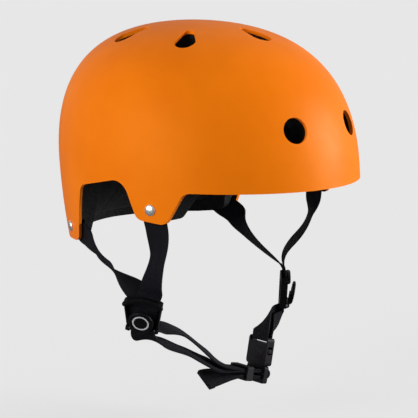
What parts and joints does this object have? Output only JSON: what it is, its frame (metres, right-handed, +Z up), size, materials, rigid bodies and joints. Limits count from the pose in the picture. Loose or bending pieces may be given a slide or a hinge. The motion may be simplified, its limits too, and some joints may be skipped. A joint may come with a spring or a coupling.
{
  "type": "skateboard helmet",
  "caption": "Hard-shell skate helmet with round and teardrop vents, foam liner, comfort pads and a chin harness with lever adjusters and a side release buckle.",
  "frame": {"origin": "on the mid plane, inside the head space, at the level where the dome is widest", "axes": "+X forward, +Y to the wearer's left, +Z up through the crown"},
  "size_m": [0.2703, 0.2385, 0.3226],
  "materials": {
    "shell": "satin orange",
    "foam": "moulded bead foam",
    "pad": "brushed cloth",
    "hook_tape": "hook tape",
    "rivet": "polished",
    "steel": "plain",
    "webbing": "twill webbing",
    "black_plastic": "moulded satin",
    "badge": "plain ring inlay",
    "keeper_rubber": "matte"
  },
  "bodies": {
    "helmet": {"outer_shell": "shell", "foam_liner": "foam", "brow_pad": "pad", "right_side_pad": "pad", "left_side_pad": "pad", "rear_pad": "pad", "crown_pad": "pad", "hook_patches": "hook_tape", "strap_rivets": "rivet", "rivet_washers": "steel"},
    "chin_harness": {"right_front_strap": "webbing", "left_front_strap": "webbing", "right_rear_strap": "webbing", "left_rear_strap": "webbing", "right_adjuster_frame": "black_plastic", "left_adjuster_frame": "black_plastic", "right_adjuster_pin": "steel", "left_adjuster_pin": "steel", "left_chin_strap_outer": "webbing", "left_chin_strap_inner": "webbing", "left_buckle_loop": "webbing", "buckle_socket": "black_plastic", "right_chin_strap_upper": "webbing", "right_chin_strap_lower": "webbing"},
    "right_lever": {"right_adjuster_lever": "black_plastic", "right_lever_badge": "badge"},
    "left_lever": {"left_adjuster_lever": "black_plastic", "left_lever_badge": "badge"},
    "buckle_plug": {"buckle_plug": "black_plastic", "right_ladder_wrap": "webbing", "strap_tail": "webbing"},
    "strap_keeper": {"strap_keeper": "keeper_rubber"},
    "release_arm_front": {"release_arm_front": "black_plastic"},
    "release_arm_rear": {"release_arm_rear": "black_plastic"}
  },
  "joints": [
    {"name": "harness_swing", "type": "hinge", "parent": "helmet", "child": "chin_harness", "pos_m": [0.04, 0, -0.026], "axis": [0, 1, 0], "range_deg": [0, 10], "deforming": ["right_front_strap", "left_front_strap", "right_rear_strap", "left_rear_strap"]},
    {"name": "right_lever_hinge", "type": "hinge", "parent": "chin_harness", "child": "right_lever", "pos_m": [0.01519, -0.09628, -0.13029], "axis": [0.8629, 0.4954, -0.0994], "range_deg": [0, 80]},
    {"name": "left_lever_hinge", "type": "hinge", "parent": "chin_harness", "child": "left_lever", "pos_m": [0.01576, 0.09789, -0.14102], "axis": [-0.6428, 0.766, 0], "range_deg": [0, 80]},
    {"name": "buckle_release", "type": "slide", "parent": "chin_harness", "child": "buckle_plug", "axis": [-0.0336, -0.1903, -0.9812], "range_m": [0, 0.025], "deforming": ["right_chin_strap_upper", "right_chin_strap_lower", "release_arm_front", "release_arm_rear"]},
    {"name": "front_arm_flex", "type": "hinge", "parent": "buckle_plug", "child": "release_arm_front", "pos_m": [0.02855, 0.05094, -0.18674], "axis": [-0.1707, -0.9662, 0.1932], "range_deg": [0, 10], "stiffness_Nm_per_rad": 0.1},
    {"name": "rear_arm_flex", "type": "hinge", "parent": "buckle_plug", "child": "release_arm_rear", "pos_m": [0.01161, 0.05393, -0.18674], "axis": [-0.1707, -0.9662, 0.1932], "range_deg": [-10, 0], "stiffness_Nm_per_rad": 0.1},
    {"name": "keeper_slide", "type": "slide", "parent": "buckle_plug", "child": "strap_keeper", "axis": [-0.1707, -0.9662, 0.1932], "range_m": [-0.006, 0.0035]}
  ]
}
